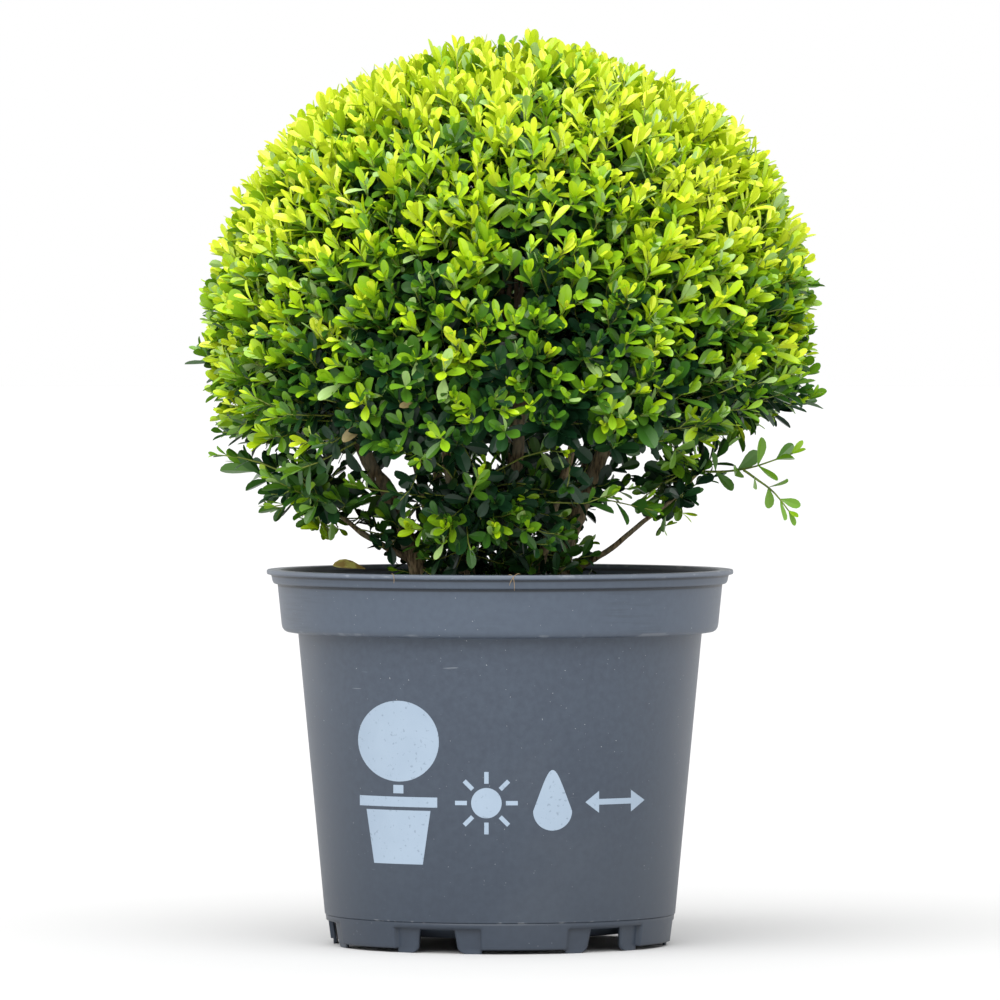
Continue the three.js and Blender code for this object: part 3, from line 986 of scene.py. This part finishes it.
def grow(start, heading, ends, kind, parent_fed):
    """Takes a branch on from start to the shoots that end at the given points."""
    fed = len(ends)
    if fed == 0:
        return
    if fed == 1:
        shoots.append((start, heading, ends[0], kind))
        return
    middle = ends.mean(axis=0)
    way = middle - start
    distance = np.linalg.norm(way)
    below = (SHOOT_LENGTH + SPREAD * math.sqrt(fed)) * dice.uniform(0.9, 1.1)
    fork, onwards = start, heading
    if distance > below * 1.12:
        onwards = unit(unit(way) + 0.3 * heading + dice.normal(0, 0.1, 3))
        fork = start + unit(way + onwards * distance * 0.3) * (distance - below)
        twigs.append((curve_between(start, heading, fork, onwards),
                      branch_radius(parent_fed), branch_radius(fed)))
        parent_fed = fed
    spread = unit(ends - fork)
    spread -= spread.mean(axis=0)
    _, _, axes = np.linalg.svd(spread, full_matrices=False)
    order = np.argsort(spread @ axes[0])
    cut = int(np.clip(round(fed * dice.uniform(0.36, 0.64)), 1, fed - 1))
    grow(fork, onwards, ends[order[:cut]], kind, parent_fed)
    grow(fork, onwards, ends[order[cut:]], kind, parent_fed)


def nearest_stem(ends):
    """Which stem feeds each end: the tops go to the middle stems, the sides to the rest."""
    low_middle = np.array([0, 0, 0.25])
    way = unit(ends - low_middle)
    flat = np.linalg.norm(way[:, :2], axis=1)
    reach = STEM_FAN_RADIUS * (np.arctan2(flat, way[:, 2]) / (math.pi / 2)) ** 0.9
    at = way[:, :2] / np.maximum(flat, 1e-6)[:, None] * reach[:, None]
    feet = np.array([limb_ends[name][0][:2] for name in STEMS])
    return np.argmin(np.linalg.norm(at[:, None] - feet[None], axis=2), axis=1)


feeding = nearest_stem(ball_ends)
for i, name in enumerate(STEMS):
    share = ball_ends[feeding == i]
    grow(*limb_ends[name], share, BALL, len(share))
for node, (bough, *_) in LOOSE_MASSES.items():
    grow(*limb_ends[bough], loose_ends[node], STREWN, len(loose_ends[node]))
    knots = limb_knots[bough]
    for end in spots(LONG_SHOOTS[bough]):
        at = [dice.uniform(0.6, 1.0)]
        shoots.append((bezier(knots, at)[0], bezier_heading(knots, at)[0], end, LONG))
print("branches:", len(twigs), " shoots:", len(shoots))

# %% [markdown]
# Old stems also carry short spurs with a few dark leaves each, right down to the mix.
# They are what makes the underside of the plant look deep and full.

# %% Spurs on the old wood
SPURS_ON_STEM = 14
SPURS_ON_BOUGH = 8
BARE_SHARE = {"low_bough_left": 0.2, "low_bough_right": 0.62}
SPUR_LENGTH = 30 * MM

for name, knots in limb_knots.items():
    on_stem = name in STEMS
    for _ in range(SPURS_ON_STEM if on_stem else SPURS_ON_BOUGH):
        if on_stem:
            at = 0.06 + 0.7 * dice.random() ** 1.6
        else:
            at = dice.uniform(BARE_SHARE.get(name, 0.3), 1)
        start = bezier(knots, [at])[0]
        way = unit(dice.normal(size=3) * np.array([1, 1, 0.5]) + 0.35 * UP)
        end = start + way * SPUR_LENGTH * dice.uniform(0.6, 1.25)
        end[2] = max(end[2], MIX_TOP + 10 * MM)
        shoots.append((start, way, end, SPUR))
print("shoots and spurs:", len(shoots))


# %% Round wood from arrays
def square_to(headings):
    """Two ways square to each heading along many curves, and to each other."""
    mean = unit(headings.mean(axis=1))
    helper = np.where(np.abs(mean[:, 2:]) < 0.8, UP, np.array([1.0, 0, 0]))
    across = unit(np.cross(headings, helper[:, None]))
    return across, np.cross(headings, across)


def tubes(knots, start_radii, end_radii, rings, sides):
    """Tapering round wood along many curves at once: points, walls and end caps."""
    shares = np.linspace(0, 1, rings)
    centres = bezier(knots, shares)
    across, side = square_to(bezier_heading(knots, shares))
    radii = start_radii[:, None] + (end_radii - start_radii)[:, None] * shares
    angle = np.arange(sides) * math.tau / sides
    round_ = (across[:, :, None] * np.cos(angle)[:, None]
              + side[:, :, None] * np.sin(angle)[:, None])
    points = centres[:, :, None] + round_ * radii[:, :, None, None]
    ring = np.arange(sides)
    following = (ring + 1) % sides
    wall = np.stack([ring, following, following + sides, ring + sides], axis=1)
    walls = (wall[None] + np.arange(rings - 1)[:, None, None] * sides).reshape(-1, 4)
    caps = np.stack([ring[::-1], ring + (rings - 1) * sides])
    first = np.arange(len(knots))[:, None, None] * rings * sides
    return (points.reshape(-1, 3), (walls[None] + first).reshape(-1, 4),
            (caps[None] + first).reshape(-1, sides))


twig_wood = Finish("twig_wood", {"Base Color": tint(92, 76, 54), "Roughness": 0.8})
mesh = mesh_from_arrays(*tubes(*map(np.array, zip(*twigs)), 5, 6))
new_piece("branches", mesh, twig_wood, ["foliage_ball"])

# %% [markdown]
# ## Leafy shoots
#
# Box leaves sit in pairs, each pair turned a quarter from the one below. They are
# spoon-shaped, up to 18 mm long, glossy and a little folded along the midrib. At the tip
# of a shoot they are small, upright and yellow-green. Further down they stand out wide
# and are dark green.
#
# All the leaves are worked out together as arrays: one leaf is a double strip of ten
# faces, laid out along its own axis and turned so that its upper side faces the light.

# %% Shoot curves
shoot_start, shoot_heading, shoot_end, shoot_kind = map(np.array, zip(*shoots))
is_ball = shoot_kind == BALL
is_long = shoot_kind == LONG
count = len(shoots)

outwards = unit(shoot_end - BALL_MIDDLE)
level = unit(shoot_end * np.array([1, 1, 0]))
wander = dice.normal(0, 0.28, (count, 3))
clipped_way = unit(outwards + 0.45 * UP + wander)
loose_way = unit(level + 0.35 * UP + 1.2 * wander)
end_heading = np.where(is_ball[:, None], clipped_way, loose_way)
shoot_knots = curve_between(shoot_start, shoot_heading, shoot_end, end_heading)

young_wood = Finish("young_wood", {"Base Color": tint(128, 142, 58), "Roughness": 0.6})
foot_radii = np.where(is_long, 1.6, 1.15) * TWIG_RADIUS
tip_radii = np.full(count, 0.8 * TWIG_RADIUS)
mesh = mesh_from_arrays(*tubes(shoot_knots, foot_radii, tip_radii, 6, 3))
new_piece("shoot_stalks", mesh, young_wood, ["foliage_ball"])

# %% Leaf shape
LEAF_ROWS = np.array([0, 0.22, 0.45, 0.67, 0.85, 0.965])
LEAF_WIDTHS = np.array([0.10, 0.45, 0.85, 1.0, 0.83, 0.42])
ROWS = len(LEAF_ROWS)


def leaf_points(base, axis, face, size, width, fold, bend):
    """Points and faces of many leaves: 18 points and 10 faces each."""
    side = np.cross(axis, face)
    half = LEAF_WIDTHS * width[:, None] / 2
    points = np.empty((len(base), ROWS, 3, 3))
    for column, sign in enumerate((-1, 0, 1)):
        rows = LEAF_ROWS.copy()
        if sign == 0:
            rows[-1] = 1
        along = rows * size[:, None]
        lift = abs(sign) * fold[:, None] * half - bend[:, None] * rows ** 2 * size[:, None]
        points[:, :, column] = (base[:, None] + axis[:, None] * along[..., None]
                                + side[:, None] * (sign * half)[..., None]
                                + face[:, None] * lift[..., None])
    row = np.arange(ROWS - 1)[:, None] * 3
    column = np.arange(2)[None, :]
    corner = (row + column).ravel()
    strip = np.stack([corner, corner + 1, corner + 4, corner + 3], axis=1)
    first = np.arange(len(base))[:, None, None] * ROWS * 3
    return points.reshape(-1, 3), (strip[None] + first).reshape(-1, 4)


# %% Lay out the leaves
PAIR_FROM_TIP = np.array([0.5, 4.5, 9.5, 15.0, 21.5, 28.5, 36, 44, 52]) * MM
PAIR_SIZE = np.array([9.0, 12.5, 14.5, 15.5, 15.5, 15.5, 15, 14.5, 14]) * MM
PAIR_ANGLE = np.radians([17, 32, 44, 53, 59, 63, 66, 68, 70])
PAIRS = len(PAIR_SIZE)


def leaf_pairs(knots, stride, vigour, opening, fresh, ageing_and_painted_shade, lost, light):
    """Base, axis, face, size, freshness and shoot of each leaf, in opposite pairs. The
    freshness carries painted light and shade as well.
    """
    shoot_count = len(knots)
    length = np.linalg.norm(knots[:, 3] - knots[:, 0], axis=1)
    share = 1 - PAIR_FROM_TIP * stride[:, None] / length[:, None]
    on_shoot = share > 0.05
    share = np.clip(share, 0, 1)
    nodes = bezier(knots, share)
    axes = bezier_heading(knots, share)
    across, side = square_to(axes)
    turn = dice.uniform(0, math.tau, (shoot_count, 1)) + np.arange(PAIRS) * math.pi / 2
    turn = turn + dice.normal(0, 0.2, turn.shape)
    batch = []
    for hand in (0, math.pi):
        angle = turn + hand
        out = across * np.cos(angle)[..., None] + side * np.sin(angle)[..., None]
        lean = PAIR_ANGLE * opening[:, None] + dice.normal(0, 0.13, angle.shape)
        axis = axes * np.cos(lean)[..., None] + out * np.sin(lean)[..., None]
        upper = axes * np.sin(lean)[..., None] - out * np.cos(lean)[..., None]
        axis = unit(axis + 0.1 * light[:, None] + dice.normal(0, 0.07, axis.shape))
        face = 0.6 * unit(upper) + 0.5 * light[:, None] + dice.normal(0, 0.2, axis.shape)
        face = unit(face - axis * (face * axis).sum(axis=-1, keepdims=True))
        size = PAIR_SIZE * vigour[:, None] * np.clip(dice.normal(1, 0.12, angle.shape), 0.6, 1.3)
        # pairs further from the tip get darker tints: older leaves, and painted shade for the
        # inside of the plant
        age = ageing_and_painted_shade[:, None] * np.arange(PAIRS)
        colour = fresh[:, None] - age + dice.normal(0, 0.05, angle.shape)
        keep = on_shoot & (dice.random(angle.shape) > lost + 0.03 * np.arange(PAIRS))
        batch.append([part[keep] for part in (nodes, axis, face, size, colour)]
                     + [np.broadcast_to(np.arange(shoot_count)[:, None], keep.shape)[keep]])
    return [np.concatenate(parts) for parts in zip(*batch)]


# %% Grow the leaves
# how fresh a spray is: 1 is new growth, 0 is the leaves of old wood. It also carries
# painted light and shade: higher sprays, the sides of the plant, the strewn shoots towards
# the sides and the long shoots in front are painted lighter, and pairs further from the
# tip are painted darker for shade as well as for age
FRESHENS_FROM = 0.29
FRESHENS_OVER = 0.22
FRESH_LOW = 0.44
FRESH_AND_PAINTED_LIGHT_RISE = 0.63
FRESH_PATCHES = 0.16
FRESH_SCATTER = 0.155
PAINTED_LIGHT_SIDES = 0.19
PAINTED_LIGHT_WAIST_SIDES = 0.06
WAIST = (0.33, 0.41)
MIDDLE_HALF_WIDTH = 0.06
AGEING_AND_PAINTED_SHADE = 0.12
LOST_LEAVES = 0.03

height_share = np.clip((shoot_end[:, 2] - FRESHENS_FROM) / FRESHENS_OVER, 0, 1)
# new growth and painted light: sprays higher up get lighter tints
fresh = FRESH_LOW + FRESH_AND_PAINTED_LIGHT_RISE * height_share + FRESH_PATCHES * swell(outwards, 6, 5)
fresh = fresh + dice.normal(0, FRESH_SCATTER, count)
towards_side = np.clip(np.abs(shoot_end[:, 0]) / MIDDLE_HALF_WIDTH - 1, 0, 1)
at_waist = (shoot_end[:, 2] > WAIST[0]) & (shoot_end[:, 2] < WAIST[1])
# painted light: sprays towards the sides of the plant get lighter tints, less so at the waist
fresh = fresh + np.where(at_waist, PAINTED_LIGHT_WAIST_SIDES, PAINTED_LIGHT_SIDES) * towards_side
# painted light: the strewn shoots are a little darker in the middle and lighter towards the sides
fresh = fresh + (shoot_kind == STREWN) * (0.17 * towards_side - 0.07)
# less painted shade on the inner pairs of the loose shoots towards the sides
ageing_and_painted_shade = AGEING_AND_PAINTED_SHADE - 0.04 * towards_side * ~is_ball
# painted light: the long shoots in front get lighter tints
in_front = shoot_end[:, 1] < -0.1
fresh = np.where(is_long, dice.uniform(0.5, 0.74, count) + 0.1 * in_front, fresh)
# painted light: spur leaves get tints a little lighter than the darkest, for light that shows
# through them
fresh = np.where(shoot_kind == SPUR, dice.uniform(0.15, 0.55, count), fresh)
vigour = np.clip(dice.normal(0.95, 0.12, count), 0.7, 1.3) + 0.14 * height_share
opening = np.clip(dice.normal(1.04, 0.2, count), 0.55, 1.5)
stride = np.where(is_ball, 1.0, 1.25) * dice.uniform(0.85, 1.15, count)
light = unit(0.5 * outwards + UP)
*leaves, colour, spray = leaf_pairs(shoot_knots, stride, vigour, opening, fresh, ageing_and_painted_shade,
                                    LOST_LEAVES, light)
print("leaves:", len(colour))

# %% Leaf tints
TINTS = [(28, 57, 36), (39, 74, 40), (56, 98, 36), (74, 118, 34), (104, 150, 34),
         (138, 180, 34), (170, 204, 32), (192, 217, 38), (213, 229, 58)]
DARK_TINTS = 3
# the pale tint is a painted sheen: greyish leaves that stand in for sky reflected in glossy leaves
PAINTED_SHEEN = len(TINTS)
PAINTED_SHEEN_TINT = (164, 196, 118)
PAINTED_SHEEN_SHARE = 0.06
WITHERED = PAINTED_SHEEN + 1
WITHERED_TINT = (164, 148, 104)
WITHERED_SHARE = 0.006
FIRST_YOUNG = 5


def leaf_finish(rank, colour):
    gloss = 0.36 if rank < DARK_TINTS else 0.5
    return Finish(f"leaf_tint_{rank + 1}", {"Base Color": tint(*colour), "Roughness": 0.32,
                                            "Specular IOR Level": gloss})


leaf_finishes = [leaf_finish(*ranked) for ranked in enumerate([*TINTS, PAINTED_SHEEN_TINT, WITHERED_TINT])]


def crease_midribs(mesh):
    """Marks each leaf's middle column sharp, so that its halves catch the light apart."""
    ends = np.empty(len(mesh.edges) * 2, np.int32)
    mesh.edges.foreach_get("vertices", ends)
    on_midrib = (ends.reshape(-1, 2) % 3 == 1).all(axis=1)
    mesh.edges.foreach_set("use_edge_sharp", on_midrib)


def tint_rank(colour):
    """Which tint each leaf gets for its freshness and its painted light and shade; a few
    get the pale tint of a painted sheen, and a few come out withered.
    """
    rank = np.clip((colour * len(TINTS)).astype(int), 0, len(TINTS) - 1)
    # painted sheen: a share of the leaves that are not dark gets the pale tint
    pale = (dice.random(len(rank)) < PAINTED_SHEEN_SHARE) & (rank >= DARK_TINTS)
    rank = np.where(pale, PAINTED_SHEEN, rank)
    withered = (dice.random(len(rank)) < WITHERED_SHARE) & (rank < 2)
    return np.where(withered, WITHERED, rank)


def new_leaves(prefix, chosen, stands_for, leaves, colour):
    """One piece for each tint of the chosen leaves."""
    rank = tint_rank(colour)
    shape = np.clip(dice.normal(0.375, 0.035, len(rank)) + 0.08 * (1 - colour), 0.3, 0.54)
    fold = dice.uniform(0.15, 0.55, len(rank))
    bend = dice.normal(0.03, 0.08, len(rank))
    for i, finish in enumerate(leaf_finishes):
        mine = chosen & (rank == i)
        if not mine.any():
            continue
        base, axis, face, size = (part[mine] for part in leaves)
        mesh = mesh_from_arrays(*leaf_points(base, axis, face, size, size * shape[mine],
                                             fold[mine], bend[mine]))
        crease_midribs(mesh)
        slot = "young_leaf" if FIRST_YOUNG <= i < WITHERED else "old_leaf"
        new_piece(f"{prefix}_leaves_{i + 1}", mesh, finish, stands_for)


on_ball = is_ball[spray]
new_leaves("ball", on_ball, ["foliage_ball"], leaves, colour)
new_leaves("loose", ~on_ball, list(LOOSE_MASSES), leaves, colour)

# %% [markdown]
# ## Leaves of the sprig
#
# The sprig on the right was missed by the shears. Its leaf pairs stand far apart, some
# leaves are missing, and the rest hang a little.

# %% Leaves of the sprig
knots = np.array(list(sprig_knots.values()))
hanging = unit(np.array([[0.2, -1.0, 0.5], [0.3, -1.0, 0.3]])) * 2
*leaves, colour, _ = leaf_pairs(knots, np.array([2.3, 2.0]), np.array([1.14, 1.1]),
                                np.array([1.35, 1.25]), np.array([0.56, 0.58]),
                                np.array([0.035, 0.035]), 0.05, hanging)
new_leaves("sprig", np.full(len(colour), True), ["sprig_foliage"], leaves, colour)

# %% [markdown]
# ## A fallen leaf
#
# One old leaf has dropped off and leans inside the rim, yellow and brown.

# %% Fallen leaf
fallen = Finish("withered_leaf", {"Roughness": 0.6})
blotch = fallen.grain(160, 3).step(0.4, 0.6)
fallen.paint("Base Color", fallen.blend(blotch, tint(170, 142, 74), tint(216, 210, 112)))
foot = spots([(-134, 114, 223)])
blade = leaf_points(foot, unit(np.array([[-0.95, 0.1, 0.2]])), unit(np.array([[0.1, -0.6, 0.75]])),
                    np.array([20 * MM]), np.array([9 * MM]), np.array([0.4]), np.array([0.12]))
new_piece("fallen_leaf", mesh_from_arrays(*blade), fallen, ["loose_foliage_left"])

# %% Dry fibres on the lip
# (bearing, distance from the axis, height) of the four points of each fibre
FIBRES = [[(2, 137, 225), (3, 140, 227), (3.6, 141, 222), (3.4, 141.2, 216)],
          [(5, 136, 225.3), (4.4, 139, 227.5), (2.8, 141, 224), (2.2, 141.2, 219)],
          [(-28, 136, 225.2), (-27, 139, 226.6), (-26, 141, 224), (-26.2, 141.3, 220)]]
knots = np.array([spots(fibre) for fibre in FIBRES])
thin = np.full(len(knots), 0.22 * MM)
dry = Finish("dry_fibre", {"Base Color": tint(150, 126, 92), "Roughness": 0.8})
mesh = mesh_from_arrays(*tubes(knots, thin, thin * 0.6, 10, 5))
new_piece("dry_fibres", mesh, dry, ["potting_mix"])

# %% [markdown]
# ## Studio
#
# The plant stands on a wide sheet of white paper, in white surroundings. One very soft
# light from above, a little to the left of the camera, makes the top of the ball bright
# and leaves its underside in shade.

# %% Studio
bm = bmesh.new()
bmesh.ops.create_grid(bm, x_segments=1, y_segments=1, size=40)
floor = bpy.data.objects.new("studio_floor", mesh_from(bm))
scene.collection.objects.link(floor)
paper = Finish("white_paper", {"Base Color": (0.57, 0.57, 0.57, 1), "Roughness": 0.9})
floor.data.materials.append(paper.material)
floor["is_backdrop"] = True

world = bpy.data.worlds.new("studio")
world.use_nodes = True
scene.world = world
sky = world.node_tree.nodes["Background"].inputs
sky["Color"].default_value = (1, 1, 1, 1)
sky["Strength"].default_value = 1.0

light_data = bpy.data.lights.new("overhead_light", "SUN")
light_data.energy = 3.5
light_data.angle = math.radians(70)
light_object = bpy.data.objects.new("overhead_light", light_data)
light_object.rotation_euler = Vector((-0.15, -0.75, 1)).to_track_quat("Z", "Y").to_euler()
scene.collection.objects.link(light_object)
scene.view_settings.view_transform = "Standard"

# %% Sizes
low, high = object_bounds()
sizes = {"cad": [list(CAD_LOW), list(CAD_HIGH)], "visual": [list(low), list(high)]}
print("visual model:", [round(side, 3) for side in high - low], "m")
